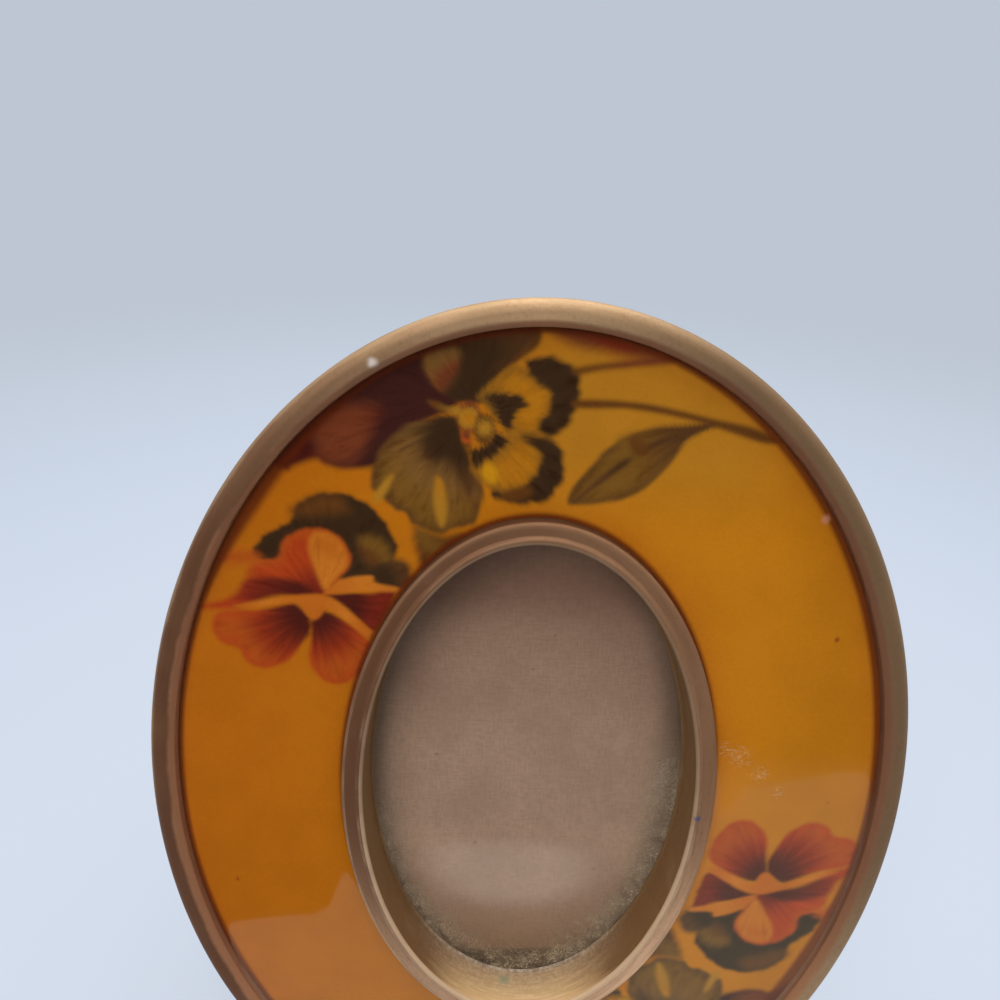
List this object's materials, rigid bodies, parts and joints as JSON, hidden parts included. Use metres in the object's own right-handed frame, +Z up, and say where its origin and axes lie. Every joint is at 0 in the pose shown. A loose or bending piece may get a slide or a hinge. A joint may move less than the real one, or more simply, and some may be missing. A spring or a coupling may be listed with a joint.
{
  "type": "oval picture frame",
  "caption": "Oval picture frame that leans on a hinged leg: raised metal rims, a flower print under a clear layer, an oval glazed opening, turn buttons and a wall ring.",
  "frame": {"origin": "middle of the small flat at the bottom of the frame, on the surface it stands on", "axes": "+Z up; the picture faces -Y and leans back by 15 degrees; +X is to the right of someone who looks at it"},
  "size_m": [0.125, 0.0709, 0.1563],
  "materials": {
    "antique_gilt": "satin",
    "liner_brass": "satin",
    "printed_paper": "matte",
    "clear_resin": "polished",
    "pane": "polished",
    "brown_card": "matte",
    "grey_board": "matte",
    "hardboard": "matte",
    "velvet": "matte",
    "button_brass": "satin",
    "screw_brass": "gloss",
    "hinge_brass": "satin",
    "rivet_brass": "gloss",
    "pin_steel": "satin",
    "ring_brass": "satin"
  },
  "bodies": {
    "frame": {"frame_body": "antique_gilt", "sight_ring": "liner_brass", "floral_print": "printed_paper", "clear_resin": "clear_resin", "glass": "pane", "insert_card": "brown_card", "filler_board": "grey_board", "back_board": "hardboard", "back_velvet": "velvet", "hinge_plate": "hinge_brass", "hinge_plate_rivets": "rivet_brass", "hinge_pin": "pin_steel", "hanger_strap": "hinge_brass", "hanger_rivets": "rivet_brass", "turn_button_screws": "screw_brass"},
    "leg": {"hinge_leaf": "hinge_brass", "hinge_leaf_rivets": "rivet_brass", "easel_leg": "hardboard", "leg_velvet": "velvet"},
    "button_1": {"turn_button_1": "button_brass"},
    "button_2": {"turn_button_2": "button_brass"},
    "button_3": {"turn_button_3": "button_brass"},
    "button_4": {"turn_button_4": "button_brass"},
    "ring": {"hanger_ring": "ring_brass"}
  },
  "joints": [
    {"name": "leg_fold", "type": "hinge", "parent": "frame", "child": "leg", "pos_m": [0, 0.02942, 0.09692], "axis": [-1, 0, 0], "range_deg": [0, 30]},
    {"name": "button_1_turn", "type": "hinge", "parent": "frame", "child": "button_1", "pos_m": [0.0354, 0.03805, 0.13281], "axis": [0, 0.9659, -0.2588], "continuous": true},
    {"name": "button_2_turn", "type": "hinge", "parent": "frame", "child": "button_2", "pos_m": [-0.0354, 0.03805, 0.13281], "axis": [0, 0.9659, -0.2588], "continuous": true},
    {"name": "button_3_turn", "type": "hinge", "parent": "frame", "child": "button_3", "pos_m": [-0.0354, 0.00756, 0.01902], "axis": [0, 0.9659, -0.2588], "continuous": true},
    {"name": "button_4_turn", "type": "hinge", "parent": "frame", "child": "button_4", "pos_m": [0.0354, 0.00756, 0.01902], "axis": [0, 0.9659, -0.2588], "continuous": true},
    {"name": "ring_swing", "type": "hinge", "parent": "frame", "child": "ring", "pos_m": [0, 0.03982, 0.13554], "axis": [1, 0, 0], "range_deg": [-12, 165]}
  ]
}
